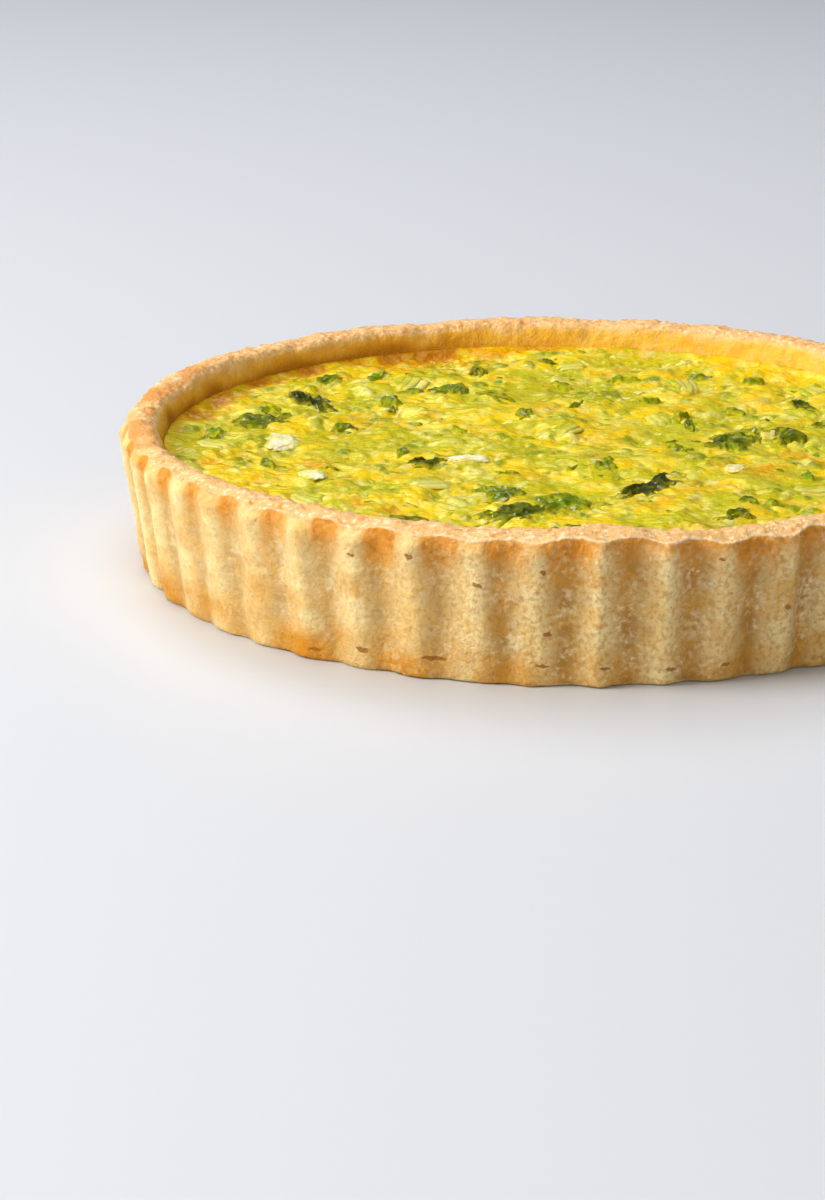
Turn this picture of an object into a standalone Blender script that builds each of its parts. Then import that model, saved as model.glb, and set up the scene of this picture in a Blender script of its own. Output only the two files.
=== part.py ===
"""Deep fluted quiche: a shortcrust case, the custard set in it, and the greens, leek and cheese on top.

Metres, +Z up. The origin is the centre of the flat base."""

import math
import random

import bmesh
import bpy
from mathutils import Matrix, Vector, noise

# Pastry case, baked in a 23 cm deep loose-bottomed tin
RIM_RADIUS = 0.115  # over the ridges of the flutes, if the wall ran straight up to the top
FOOT_RADIUS = 0.1093  # over the ridges, where the wall meets the base
CASE_HEIGHT = 0.0362
FLOOR_THICKNESS = 0.004
FLUTES = 48
FIRST_RIDGE = math.radians(4.81)
FLUTE_DEPTH = 0.0025
FOOT_FLUTE_DEPTH = 0.0014  # the pastry filled the tin less sharply low down
FOOT_FADE = 0.014  # height over which the flutes reach their full depth
LIP_FLUTE_DEPTH = 0.0018
GROOVE_POWER = 0.8  # under 1, so the grooves are wider than the ridges between them
STEPS_PER_FLUTE = 6
RIM_INNER_RADIUS = 0.1038  # where the top of the rim turns down into the case
FLOOR_INNER_RADIUS = 0.0985
RIM_SHARES = (0.25, 0.65)  # where across the rim its crown is highest, and where it has halved
CROWN = 0.0006  # how far the top of the rim swells over its edges
INNER_EDGE_DROP = 0.0009
LIP_DROP = 0.0004
SHOULDER = 0.0013  # how far the ridges curve in below the lip
SHOULDER_HEIGHT = 0.003
GROOVE_LIFT = 0.0006  # how much higher the lip stands over a groove
FOOT_ROUND = 0.0012
RIM_WANDER = 0.0003  # slow rise and fall of the rim
RIM_CRUMB = 0.00025  # crumbly unevenness of the rim, from step to step
WALL_WANDER = 0.0006  # unevenness of the wall, flute by flute
INNER_WANDER = 0.0008  # unevenness of the rim's inner edge

# Unevenness round the case: how fine it is, and which random pattern it takes
RIM_SWELLS = (2.3, 1.7)
RIM_SWAYS = (7, 4.1)
RIM_CRUMBS = (60, 8.3)
INNER_SWAYS = (12, 2.6)
WALL_SWAYS = (26, 5.5)

# Stretches of rim that moved in the oven: angle and half width in degrees, rise and move inwards in mm
RIM_STRETCHES = (
    (-155, 25, 0, -1.5),
    (-83, 8, 0.6, 1.6),
    (-68, 10, -1.0, 0),
    (57, 6, 0.4, 0),
    (80, 4, 0.4, 0),
    (95, 5, 0.5, 0),
    (112, 4, -0.5, 0),
    (137, 5, -0.5, 0),
    (153, 9, 0.5, 0),
)

# Custard
FILLING_LEVEL = 0.0293
RELIEF_BROAD = 0.0011
BROAD_SPACING = 0.015  # of its swells
BROAD_PATTERN = 3.3  # which random pattern the swells take
RELIEF_FINE = 0.0009
FINE_SPACING = 0.007  # of its small lumps
FINE_PATTERN = 6.1
FILLING_CELLS = 44  # cells of its surface, across
GAP = 0.0003  # between neighbours

# Pieces on the custard
LEAF_THICKNESS = 0.0008
LEAF_WAVE = 0.18  # height of a leaf's waves as a share of its width
LEAF_CELLS = (5, 3)  # along and across
LEAF_END = 0.3  # share of its width that a leaf keeps at its ends
LEEK_THICKNESS = 0.0013
LEEK_WAVE = 0.16
LEEK_CELLS = (4, 2)
LEEK_END = 0.85
RAGGED_EDGE = 0.25  # share by which the outline of a piece wanders
EDGE_LOBES = 4.7  # how fine its wander is along a piece
WAVES = 4.3  # how fine the waves are, along and across
EDGE_CUP = 0.5  # how much of the waves' height the long edges curl up
CHEESE_SWELL = 0.5  # share by which a lump of cheese swells and shrinks
CHEESE_SWELLS = 3.1  # how fine the swells are
CHEESE_RISE = 0.5  # height as a share of its width
CHEESE_SUNK = 0.1  # share of the lump's width that goes down into its flat underside
PAD_MARGIN = 0.0055  # how far the calm bed round a piece reaches, over one cell of the surface

# Small shreds of leek, fused to the custard
SHRED_COUNT = 30
SHRED_SEED = 11
SHRED_LENGTHS = (7, 12)  # shortest and longest, in millimetres
SHRED_WIDTHS = (2.2, 3.2)
SHRED_SPACING = 0.003  # from the pieces and from each other
SHRED_STAND = 0.0007  # how far a shred stands out over the highest custard under it
SHRED_SINK = 0.0015  # how far it reaches under the lowest, so that no hollow is left
SHRED_WAVE = 0.1  # height of its waves as a share of its width
SHRED_CELLS = (3, 1)
WALL_CLEARANCE = 0.004

# Each piece: x, y, length, width in millimetres from the quiche's centre, and its turn in degrees
LEAVES = (
    (-80, 16, 18, 12, 20),
    (-68, 39, 18, 8, -63),
    (-47, 38, 16, 7, 100),
    (-24, 69, 15, 5, 80),
    (-17, 43, 15, 4, -35),
    (-34.5, -25, 10, 8, 50),
    (-11.5, -69, 18, 11, 55),
    (3, -56, 15, 11, -10),
    (-15, -50, 11, 7, 150),
    (-34, -71, 14, 5, -22),
    (10.5, -25, 10, 8, 20),
    (22, -41, 18, 8, 52),
    (43.5, 2, 19, 10, 82),
    (60, 9, 14, 6, 78),
    (64, 37, 10, 7, 95),
    (41, -70, 9, 6, 30),
    (84, -22, 16, 10, -60),
    (82, 34, 13, 6, 40),
    (-31, 51, 12, 7, 20),
)
LEEKS = (
    (-89, -9, 15, 8, -30),
    (-33, -43, 15, 8, 25),
    (-43, 58, 14, 8, 65),
    (33, 62, 15, 6, 100),
    (1, 10, 12, 6, 60),
    (-62, -56, 12, 6, -40),
    (26, 25, 13, 6, -70),
    (62, -40, 14, 7, 15),
    (68, 60, 14, 7, 120),
    (2, 82, 12, 6, 10),
)
CHEESES = (
    (-72, -4, 14, 8, 82),
    (-62, -35, 11, 7, 10),
    (-21, -22, 10, 7, 15),
    (44, -23, 9, 6, 60),
    (79, 8, 9, 7, 0),
)

quiche = bpy.data.collections.new("quiche")


def clear_scene():
    for thing in list(bpy.data.objects):
        bpy.data.objects.remove(thing, do_unlink=True)
    bpy.context.scene.collection.children.link(quiche)


def material(name, colour, roughness):
    made = bpy.data.materials.new(name)
    made.use_nodes = True
    shader = made.node_tree.nodes["Principled BSDF"]
    shader.inputs["Base Color"].default_value = (*colour, 1)
    shader.inputs["Roughness"].default_value = roughness
    shader.inputs["Metallic"].default_value = 0
    return made


def add_object(name, mesh, finish):
    obj = bpy.data.objects.new(name, mesh)
    mesh.materials.clear()
    mesh.materials.append(finish)
    quiche.objects.link(obj)
    return obj


def apply_modifiers(obj):
    """Gives the object the mesh that its modifiers make, and removes them."""
    bpy.context.view_layer.update()
    graph = bpy.context.evaluated_depsgraph_get()
    before = obj.data
    obj.data = bpy.data.meshes.new_from_object(obj.evaluated_get(graph))
    obj.modifiers.clear()
    bpy.data.meshes.remove(before)


def smooth_step(x):
    x = min(max(x, 0), 1)
    return x * x * (3 - 2 * x)


def bell(x):
    return math.exp(-x * x)


def around(angle, unevenness):
    """Noise that closes on itself round the quiche, about -0.5 to 0.5."""
    fineness, pattern = unevenness
    return noise.noise(Vector((fineness * math.cos(angle), fineness * math.sin(angle), pattern)))


# The pastry case


def inner_radius(z):
    share = (z - FLOOR_THICKNESS) / (CASE_HEIGHT - FLOOR_THICKNESS)
    return FLOOR_INNER_RADIUS + share * (RIM_INNER_RADIUS - FLOOR_INNER_RADIUS)


def outer_radius(z):
    return FOOT_RADIUS + z / CASE_HEIGHT * (RIM_RADIUS - FOOT_RADIUS)


def groove(angle):
    """0 on the ridge of a flute, 1 at the bottom of a groove."""
    along = (angle - FIRST_RIDGE) * FLUTES
    return (0.5 - 0.5 * math.cos(along)) ** GROOVE_POWER


def flute_depth(z):
    foot = FOOT_FLUTE_DEPTH + smooth_step(z / FOOT_FADE) * (FLUTE_DEPTH - FOOT_FLUTE_DEPTH)
    top = smooth_step((z - CASE_HEIGHT + LIP_DROP) / SHOULDER_HEIGHT + 1)
    return foot + top * (LIP_FLUTE_DEPTH - FLUTE_DEPTH)


def rim_shift(angle):
    """How far the rim stands over its nominal height, and how far its inner edge has moved inwards."""
    rise = RIM_WANDER * (around(angle, RIM_SWELLS) + around(angle, RIM_SWAYS))
    rise += RIM_CRUMB * around(angle, RIM_CRUMBS)
    inwards = INNER_WANDER * around(angle, INNER_SWAYS)
    for centre, half_width, stretch_rise, stretch_inwards in RIM_STRETCHES:
        away = math.remainder(angle - math.radians(centre), math.tau)
        near = bell(away / math.radians(half_width))
        rise += stretch_rise / 1000 * near
        inwards += stretch_inwards / 1000 * near
    return rise, inwards


def case_profile():
    """Half section, from the middle of the floor up the inside, over the rim and down the outside."""
    rim_width = RIM_RADIUS - RIM_INNER_RADIUS
    lip = CASE_HEIGHT - LIP_DROP
    return (
        (0, FLOOR_THICKNESS),
        (FLOOR_INNER_RADIUS, FLOOR_THICKNESS),
        (inner_radius(FILLING_LEVEL), FILLING_LEVEL),
        (RIM_INNER_RADIUS, CASE_HEIGHT - INNER_EDGE_DROP),
        (RIM_INNER_RADIUS + RIM_SHARES[0] * rim_width, CASE_HEIGHT + CROWN),
        (RIM_INNER_RADIUS + RIM_SHARES[1] * rim_width, CASE_HEIGHT + CROWN / 2),
        (outer_radius(lip) - SHOULDER, lip),
        (outer_radius(lip - SHOULDER_HEIGHT), lip - SHOULDER_HEIGHT),
        (outer_radius(CASE_HEIGHT / 2), CASE_HEIGHT / 2),
        (outer_radius(FOOT_ROUND), FOOT_ROUND),
        (FOOT_RADIUS - FOOT_ROUND, 0),
        (0, 0),
    )


def shape_case(mesh):
    """Presses the flutes into the turned wall and lets the rim wander."""
    for vertex in mesh.vertices:
        x, y, z = vertex.co
        radius = math.hypot(x, y)
        if radius < FLOOR_INNER_RADIUS / 2:
            continue
        angle = math.atan2(y, x)
        inside = inner_radius(z)
        share = smooth_step((radius - inside) / (outer_radius(z) - inside))
        high = smooth_step((z - FILLING_LEVEL) / (CASE_HEIGHT - FILLING_LEVEL))
        rise, inwards = rim_shift(angle)
        radius -= (flute_depth(z) * groove(angle) - WALL_WANDER * around(angle, WALL_SWAYS)) * share
        radius -= inwards * high * (1 - share)
        z += high * (rise + GROOVE_LIFT * groove(angle) * share)
        vertex.co = (radius * math.cos(angle), radius * math.sin(angle), z)


def build_case(finish):
    profile = case_profile()
    mesh = bpy.data.meshes.new("crust")
    edges = [(i, i + 1) for i in range(len(profile) - 1)]
    mesh.from_pydata([(radius, 0, z) for radius, z in profile], edges, [])
    case = add_object("crust", mesh, finish)
    turn = case.modifiers.new("Turn", "SCREW")
    turn.steps = turn.render_steps = FLUTES * STEPS_PER_FLUTE
    turn.use_merge_vertices = True
    turn.merge_threshold = 1e-5
    apply_modifiers(case)
    shape_case(case.data)
    case.data.shade_smooth()
    return case


# The pieces on the custard


class Spot:
    """Where a piece lies: a straight stretch of custard with a half width."""

    def __init__(self, x, y, length, width, turn):
        self.centre = Vector((x, y, 0)) / 1000
        self.length = length / 1000
        self.width = width / 1000
        self.turn = math.radians(turn)

    def line(self):
        """Five points along the middle of the piece."""
        half = Matrix.Rotation(self.turn, 3, "Z") @ Vector((self.length / 2, 0, 0))
        return [self.centre + half * share for share in (-1, -0.5, 0, 0.5, 1)]

    def distance(self, x, y):
        """From the outline of the piece, negative inside it."""
        point = Matrix.Rotation(-self.turn, 3, "Z") @ (Vector((x, y, 0)) - self.centre)
        beyond = max(abs(point.x) - (self.length - self.width) / 2, 0)
        return math.hypot(beyond, point.y) - self.width / 2


def leaf_width(along):
    """Share of a leaf's width at this share of its length."""
    return LEAF_END + (1 - LEAF_END) * math.sqrt(math.sin(math.pi * along))


def strip_width(along):
    """A cut of leek: nearly as wide at its ends."""
    return LEEK_END + (1 - LEEK_END) * math.sin(math.pi * along)


def build_sheet(name, spot, finish, thickness, outline, wave, cells, seed):
    """A thin wavy piece on its calm bed of custard: a sheet bent upwards only, made solid."""
    bm = bmesh.new()
    bmesh.ops.create_grid(bm, x_segments=cells[0], y_segments=cells[1], size=0.5)
    for vertex in bm.verts:
        along = vertex.co.x + 0.5
        across = vertex.co.y
        ragged = 1 + RAGGED_EDGE * noise.noise(Vector((EDGE_LOBES * along, EDGE_LOBES * across, seed)))
        waves = 0.5 + 0.5 * noise.noise(Vector((WAVES * along, WAVES * across, -seed)))
        cup = (2 * across) ** 2
        vertex.co.x *= spot.length
        vertex.co.y = across * spot.width * outline(along) * ragged
        vertex.co.z = wave * spot.width * (waves + EDGE_CUP * cup)
    bmesh.ops.triangulate(bm, faces=bm.faces)
    mesh = bpy.data.meshes.new(name)
    bm.to_mesh(mesh)
    bm.free()
    piece = add_object(name, mesh, finish)
    piece.location = spot.centre + Vector((0, 0, FILLING_LEVEL + 2 * GAP))
    piece.rotation_euler.z = spot.turn
    solid = piece.modifiers.new("Thickness", "SOLIDIFY")
    solid.thickness = thickness
    solid.offset = 1
    apply_modifiers(piece)
    return piece


def build_crumble(name, spot, finish, seed):
    """A lump of white cheese with a flat underside."""
    bm = bmesh.new()
    bmesh.ops.create_icosphere(bm, subdivisions=2, radius=0.5)
    for vertex in bm.verts:
        swell = 1 + CHEESE_SWELL * noise.noise(CHEESE_SWELLS * vertex.co + Vector((seed, 0, 0)))
        x, y, z = vertex.co * swell
        height = CHEESE_RISE * max(z + CHEESE_SUNK, 0)
        vertex.co = (x * spot.length, y * spot.width, height * spot.width)
    mesh = bpy.data.meshes.new(name)
    bm.to_mesh(mesh)
    bm.free()
    piece = add_object(name, mesh, finish)
    piece.location = spot.centre + Vector((0, 0, FILLING_LEVEL + GAP))
    piece.rotation_euler.z = spot.turn
    piece.data.shade_smooth()
    return piece


# The custard


def surface_height(x, y, spots):
    """Height of the custard: lumpy, and calm under each piece that lies on it."""
    near = min(spot.distance(x, y) for spot in spots)
    open_share = smooth_step(near / PAD_MARGIN - 1)
    broad = noise.noise(Vector((x / BROAD_SPACING, y / BROAD_SPACING, BROAD_PATTERN)))
    fine = noise.noise(Vector((x / FINE_SPACING, y / FINE_SPACING, FINE_PATTERN)))
    relief = 2 * RELIEF_BROAD * broad + 2 * RELIEF_FINE * fine
    return FILLING_LEVEL + open_share * relief


def build_filling(finish, spots):
    """A disc of square cells with its lumpy top, drawn down to the floor of the case."""
    bm = bmesh.new()
    bmesh.ops.create_grid(bm, x_segments=FILLING_CELLS, y_segments=FILLING_CELLS, size=1)
    for vertex in bm.verts:
        across, along = vertex.co.x, vertex.co.y
        on_disc = Vector((across * math.sqrt(1 - along**2 / 2), along * math.sqrt(1 - across**2 / 2)))
        radius = inner_radius(FILLING_LEVEL) - GAP
        height = surface_height(*(on_disc * radius), spots)
        if vertex.is_boundary:
            radius = inner_radius(height) - GAP
        vertex.co = (*(on_disc * radius), height)
    rim = [edge for edge in bm.edges if edge.is_boundary]
    drawn = bmesh.ops.extrude_edge_only(bm, edges=rim)["geom"]
    foot = FLOOR_THICKNESS + GAP
    for vertex in (item for item in drawn if isinstance(item, bmesh.types.BMVert)):
        flat = vertex.co.xy.normalized() * (inner_radius(foot) - GAP)
        vertex.co = (*flat, foot)
    bmesh.ops.edgeloop_fill(bm, edges=[item for item in drawn if isinstance(item, bmesh.types.BMEdge)])
    bmesh.ops.recalc_face_normals(bm, faces=bm.faces)
    mesh = bpy.data.meshes.new("filling")
    bm.to_mesh(mesh)
    bm.free()
    return add_object("filling", mesh, finish)


def scatter_shreds(spots):
    """Places for the small shreds, clear of the pieces, of the wall and of each other."""
    draw = random.Random(SHRED_SEED)
    reach = inner_radius(FILLING_LEVEL) - WALL_CLEARANCE
    placed = []
    while len(placed) < SHRED_COUNT:
        angle = draw.uniform(0, 2 * math.pi)
        radius = reach * math.sqrt(draw.random())
        length = draw.uniform(*SHRED_LENGTHS)
        spot = Spot(
            1000 * radius * math.cos(angle),
            1000 * radius * math.sin(angle),
            length,
            draw.uniform(*SHRED_WIDTHS),
            draw.uniform(0, 180),
        )
        points = spot.line()
        inside = all(point.length < reach for point in points)
        clear = all(other.distance(p.x, p.y) > SHRED_SPACING for other in spots + placed for p in points)
        if inside and clear:
            placed.append(spot)
    return placed


def fuse_shreds(filling, spots, finish):
    """Joins the small shreds of leek to the custard they are baked into."""
    shreds = bpy.data.collections.new("shreds")
    bpy.context.scene.collection.children.link(shreds)
    for index, spot in enumerate(scatter_shreds(spots)):
        heights = [surface_height(point.x, point.y, spots) for point in spot.line()]
        thickness = max(heights) - min(heights) + SHRED_SINK + SHRED_STAND
        name = f"shred_{index + 1}"
        shred = build_sheet(name, spot, finish, thickness, strip_width, SHRED_WAVE, SHRED_CELLS, index)
        shred.location.z = min(heights) - SHRED_SINK
        quiche.objects.unlink(shred)
        shreds.objects.link(shred)
    join = filling.modifiers.new("Join", "BOOLEAN")
    join.operation = "UNION"
    join.operand_type = "COLLECTION"
    join.collection = shreds
    join.solver = "MANIFOLD"
    apply_modifiers(filling)
    for shred in list(shreds.objects):
        bpy.data.objects.remove(shred, do_unlink=True)
    bpy.data.collections.remove(shreds)


def main():
    clear_scene()
    baked_pastry = material("baked_shortcrust", (0.72, 0.46, 0.20), 0.75)
    custard = material("set_custard", (0.75, 0.60, 0.12), 0.45)
    greens = material("cooked_greens", (0.05, 0.10, 0.02), 0.4)
    leek = material("cooked_leek", (0.48, 0.55, 0.14), 0.45)
    white_cheese = material("white_cheese", (0.80, 0.78, 0.62), 0.5)

    leaf_spots = [Spot(*row) for row in LEAVES]
    leek_spots = [Spot(*row) for row in LEEKS]
    cheese_spots = [Spot(*row) for row in CHEESES]
    spots = leaf_spots + leek_spots + cheese_spots

    build_case(baked_pastry)
    filling = build_filling(custard, spots)
    fuse_shreds(filling, spots, custard)
    for index, spot in enumerate(leaf_spots):
        name = f"leaf_{index + 1}"
        build_sheet(name, spot, greens, LEAF_THICKNESS, leaf_width, LEAF_WAVE, LEAF_CELLS, index)
    for index, spot in enumerate(leek_spots):
        name = f"leek_{index + 1}"
        build_sheet(name, spot, leek, LEEK_THICKNESS, strip_width, LEEK_WAVE, LEEK_CELLS, index)
    for index, spot in enumerate(cheese_spots):
        build_crumble(f"cheese_{index + 1}", spot, white_cheese, index)


main()
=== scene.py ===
import math
import bpy
import numpy as np
from mathutils import Matrix, Vector, noise


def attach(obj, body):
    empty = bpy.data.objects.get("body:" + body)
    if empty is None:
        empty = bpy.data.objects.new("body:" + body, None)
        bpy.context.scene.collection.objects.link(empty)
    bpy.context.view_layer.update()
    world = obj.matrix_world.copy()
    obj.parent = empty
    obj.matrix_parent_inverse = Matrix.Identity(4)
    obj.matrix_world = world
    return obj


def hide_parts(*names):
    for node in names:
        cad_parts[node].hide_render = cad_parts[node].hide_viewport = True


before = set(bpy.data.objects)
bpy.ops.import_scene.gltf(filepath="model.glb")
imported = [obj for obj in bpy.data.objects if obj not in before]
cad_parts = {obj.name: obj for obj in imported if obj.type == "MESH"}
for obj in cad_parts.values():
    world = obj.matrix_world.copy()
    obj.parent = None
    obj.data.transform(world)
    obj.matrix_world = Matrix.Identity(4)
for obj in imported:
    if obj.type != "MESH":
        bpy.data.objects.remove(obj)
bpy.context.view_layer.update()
mm = 0.001


# numbers and noise

def smoothStep(x, low=0.0, high=1.0):
    t = np.clip((x - low) / (high - low), 0, 1)
    return t * t * (3 - 2 * t)


def bell(x):
    return np.exp(-x * x)


def mix(a, b, share):
    return a + (b - a) * share


def facing(angles, degrees, low, high):  # 0 to 1 on the side that faces this way, by the angle's cosine
    return smoothStep(np.cos(angles - math.radians(degrees)), low, high)


def hashed(cells, seed):  # a fixed random number, 0 to 1, for each whole-number cell
    x, y, z = (cells[..., i].astype(np.uint32) for i in range(3))
    h = x * np.uint32(374761393) + y * np.uint32(668265263) + z * np.uint32(2246822519)
    h = h + np.uint32((seed * 3266489917) % 2**32)
    for shift, factor in ((15, 2654435761), (13, 1274126177), (16, 1)):
        h = (h ^ (h >> np.uint32(shift))) * np.uint32(factor)
    return h.astype(np.float64) / 2**32


def lumps(points, size, seed=0):  # smooth random field, -1 to 1, whose lumps are about this size in metres
    scaled = points / size + 500.0  # keeps the cells' numbers above zero
    cell = np.floor(scaled)
    part = scaled - cell
    part = part * part * part * (part * (part * 6 - 15) + 10)
    cell = cell.astype(np.int64)
    total = 0
    for corner in np.ndindex(2, 2, 2):
        weight = 1
        for axis in range(3):
            weight = weight * (part[..., axis] if corner[axis] else 1 - part[..., axis])
        total = total + weight * hashed(cell + np.array(corner), seed)
    return total * 2 - 1


def addLumps(base, points, layers):  # each layer's height and size in millimetres, and its seed
    for height, size, seed in layers:
        base = base + height * mm * lumps(points, size * mm, seed)
    return base


def flat(x, y):  # points on the ground plan
    return np.stack([x, y, np.zeros_like(x)], axis=-1)


# meshes

def discGrid(count):  # a square grid of points pressed into a disc of radius 1
    side = np.linspace(-1, 1, count)
    a, b = np.meshgrid(side, side)
    return a * np.sqrt(1 - b * b / 2), b * np.sqrt(1 - a * a / 2)


def gridFaces(rows, columns, wrap=False):
    row = np.arange(rows - 1)[:, None] * columns
    column = np.arange(columns if wrap else columns - 1)[None, :]
    after = (column + 1) % columns
    corners = [row + column, row + after, row + columns + after, row + columns + column]
    return np.stack(np.broadcast_arrays(*corners), axis=-1).reshape(-1, 4)


def gridEdge(rows, columns):  # the numbers of the points round a grid's edge, in order
    ring = [(0, i) for i in range(columns - 1)] + [(i, columns - 1) for i in range(rows - 1)]
    ring += [(rows - 1, i) for i in range(columns - 1, 0, -1)] + [(i, 0) for i in range(rows - 1, 0, -1)]
    return [row * columns + column for row, column in ring]


def wrappedNormals(points):  # of a grid that wraps round, outward for the faces that gridFaces gives
    across = np.roll(points, -1, axis=1) - np.roll(points, 1, axis=1)
    normal = np.cross(across, np.gradient(points, axis=0))
    return normal / np.maximum(np.linalg.norm(normal, axis=-1, keepdims=True), 1e-12)


def sheetSolid(top, thick, masks):  # a sheet given its thickness: points, faces, and masks for both sides
    rows, columns = top.shape[:2]
    count = rows * columns
    faces = gridFaces(rows, columns).tolist() + (gridFaces(rows, columns)[:, ::-1] + count).tolist()
    edge = gridEdge(rows, columns)
    for here, after in zip(edge, edge[1:] + edge[:1]):
        faces.append([here, here + count, after + count, after])
    points = np.concatenate([top.reshape(-1, 3), (top - np.array([0, 0, thick])).reshape(-1, 3)])
    return points, faces, {mask: np.tile(values.ravel(), 2) for mask, values in masks.items()}


def joinSolids(solids):  # several of such points, faces and masks as one
    faces, start = [], 0
    for points, ownFaces, _ in solids:
        faces.extend([start + i for i in face] for face in ownFaces)
        start += len(points)
    masks = {mask: np.concatenate([solid[2][mask] for solid in solids]) for mask in solids[0][2]}
    return np.concatenate([solid[0] for solid in solids]), faces, masks


def addObject(name, data):
    made = bpy.data.objects.new(name, data)
    bpy.context.scene.collection.objects.link(made)
    return made


def addPiece(name, points, faces, masks, finish, slot, replaced):
    mesh = bpy.data.meshes.new(name)
    mesh.from_pydata(points.reshape(-1, 3).tolist(), [], [list(face) for face in faces])
    for mask, values in masks.items():  # the last points, which close a solid out of sight, may have none
        shares = np.zeros(len(mesh.vertices), np.float32)
        shares[:np.size(values)] = np.ravel(values)
        mesh.attributes.new(mask, "FLOAT", "POINT").data.foreach_set("value", shares)
    mesh.materials.append(finish)
    mesh.shade_smooth()
    mesh.validate()
    piece = addObject(name, mesh)
    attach(piece, "root")
    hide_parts(*replaced)


# materials

def linearColour(code):  # an sRGB hex colour in Blender's linear values
    shares = [int(code[i:i + 2], 16) / 255 for i in (1, 3, 5)]
    return [c / 12.92 if c <= 0.04045 else ((c + 0.055) / 1.055) ** 2.4 for c in shares] + [1.0]


def fillSockets(tree, node, inputs):  # each from another node's socket, a hex colour or a plain value
    for socket, value in inputs.items():
        if isinstance(value, bpy.types.NodeSocket):
            tree.links.new(value, node.inputs[socket])
        else:
            node.inputs[socket].default_value = linearColour(value) if isinstance(value, str) else value


def addNode(tree, kind, output, inputs=None, **settings):  # gives the socket of this output
    node = tree.nodes.new("ShaderNode" + kind)
    for setting, value in settings.items():
        setattr(node, setting, value)
    fillSockets(tree, node, inputs or {})
    return node.outputs[output]


def startMaterial(name, surface):
    made = bpy.data.materials.new(name)
    made.use_nodes = True
    shader = made.node_tree.nodes["Principled BSDF"]
    fillSockets(made.node_tree, shader, surface)
    return made, made.node_tree, shader


def speckle(tree, place, size, low, high, detail=2.0):  # 0 to 1 patches of about this size in metres
    field = addNode(tree, "TexNoise", "Fac", {"Vector": place, "Scale": 1 / size, "Detail": detail})
    inputs = {"Value": field, "From Min": low, "From Max": high}
    return addNode(tree, "MapRange", "Result", inputs, interpolation_type="SMOOTHSTEP")


def coverage(tree, place, *factors):
    # how much a coat covers: masks by name, speckles as (size, low, high, detail), sockets and plain shares,
    # all multiplied together
    total = None
    for factor in factors:
        if isinstance(factor, str):
            factor = addNode(tree, "Attribute", "Fac", attribute_name=factor)
        elif isinstance(factor, tuple):
            factor = speckle(tree, place, *factor)
        if total is not None:
            factor = addNode(tree, "Math", 0, {0: total, 1: factor}, operation="MULTIPLY")
        total = factor
    return total


def layCoats(tree, place, base, coats):  # each coat is a colour and the factors of its coverage
    for colour, *factors in coats:
        inputs = {0: coverage(tree, place, *factors), 6: base, 7: colour}  # a colour mix's factor, A and B
        base = addNode(tree, "Mix", 2, inputs, data_type="RGBA")
    return base


def addBumps(tree, place, layers):  # layers of (size in metres, depth in metres)
    below = {}
    for size, depth in layers:
        height = addNode(tree, "TexNoise", "Fac", {"Vector": place, "Scale": 1 / size, "Detail": 3.0})
        inputs = {"Height": height, "Strength": 1.0, "Distance": depth, **below}
        below = {"Normal": addNode(tree, "Bump", "Normal", inputs)}
    return below["Normal"]


# the pastry case: shortcrust pressed into a fluted tin

pastry = dict(
    rimRadius=115 * mm,  # over the ridges
    footRadius=109.3 * mm,
    height=36.2 * mm,
    floor=4 * mm,
    rimInner=103.8 * mm,
    floorInner=98.5 * mm,
    level=29.3 * mm,  # of the custard
    flutes=48,
    firstRidge=math.radians(4.81),
    fluteDepth=2.1 * mm,
    footFluteDepth=1.4 * mm,
    lipFluteDepth=1.7 * mm,
    footFade=16 * mm,  # the flutes have their full depth above this height
    columnsPerFlute=24,
    underRings=(35 * mm, 75 * mm, 100 * mm),
    footRows=4, wallRows=46, rimRows=13, bendRows=6, insideRows=9,
    innerRound=2.2 * mm,
    lipDrop=0.4 * mm,
    shoulder=1.3 * mm,  # the wall curves in under the lip
    shoulderHeight=3.4 * mm,
    grooveLift=0.6 * mm,  # the lip stands higher over a groove
    footRound=1.4 * mm,
    relief=((0.32, 9, 1), (0.2, 3.4, 2)),  # lumps: height and size in millimetres, and a seed
    rimRelief=((0.2, 2.2, 3), (0.16, 0.9, 4)),
    # sides of the case, in degrees
    slumpSide=-150,  # its ridges slumped most, and its wall tanned most
    shadedSide=165,  # its inside darkened most: browned, with painted shade on that side
    rimToastSide=180,
    paleSide=-175,  # its arches stayed paler
    # how strongly each place browned, and how strong the painted shade laid on in the toasted colour is
    archToast=1.25,  # over each groove
    bandToast=0.95,  # right under the rim
    shadeStreak=0.35,
    footToast=0.7,
    insideToastAndShade=0.9,
    rimToast=0.95,
    backRimToast=0.55,
    # stretches of rim that moved in the oven: angle and half width in degrees, then how far they rose and
    # moved inwards in millimetres
    stretches=(
        (-155, 25, 0, -1.5), (-83, 8, 0.6, 1.6), (-68, 10, -1.0, 0), (57, 6, 0.4, 0), (80, 4, 0.4, 0),
        (95, 5, 0.5, 0), (112, 4, -0.5, 0), (137, 5, -0.5, 0), (153, 9, 0.5, 0),
    ),
    # cracks that opened in the wall: angle in degrees, height, width and opening in millimetres
    cracks=(
        (-121.6, 2.9, 3.6, 0.5), (-114.6, 5.2, 3.4, 0.9), (-105.2, 5.3, 6.5, 0.7), (-92.0, 5.4, 3.6, 0.5),
        (-91.4, 13.3, 2.2, 0.6), (-99.6, 24.9, 2.4, 0.7), (-107.6, 31.0, 2.0, 0.9), (-115.1, 29.3, 2.0, 0.6),
        (-92.0, 29.0, 1.4, 0.9), (-84.5, 5.0, 3.0, 0.5), (-76.5, 4.2, 3.2, 0.6), (-69.5, 4.4, 2.6, 0.5),
        (-71.2, 31.0, 1.6, 0.5), (-62.0, 17.0, 2.0, 1.2),
    ),
    crackCount=60,  # with the random ones, which start at the next angle in degrees
    cracksFrom=-50,
)


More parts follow.
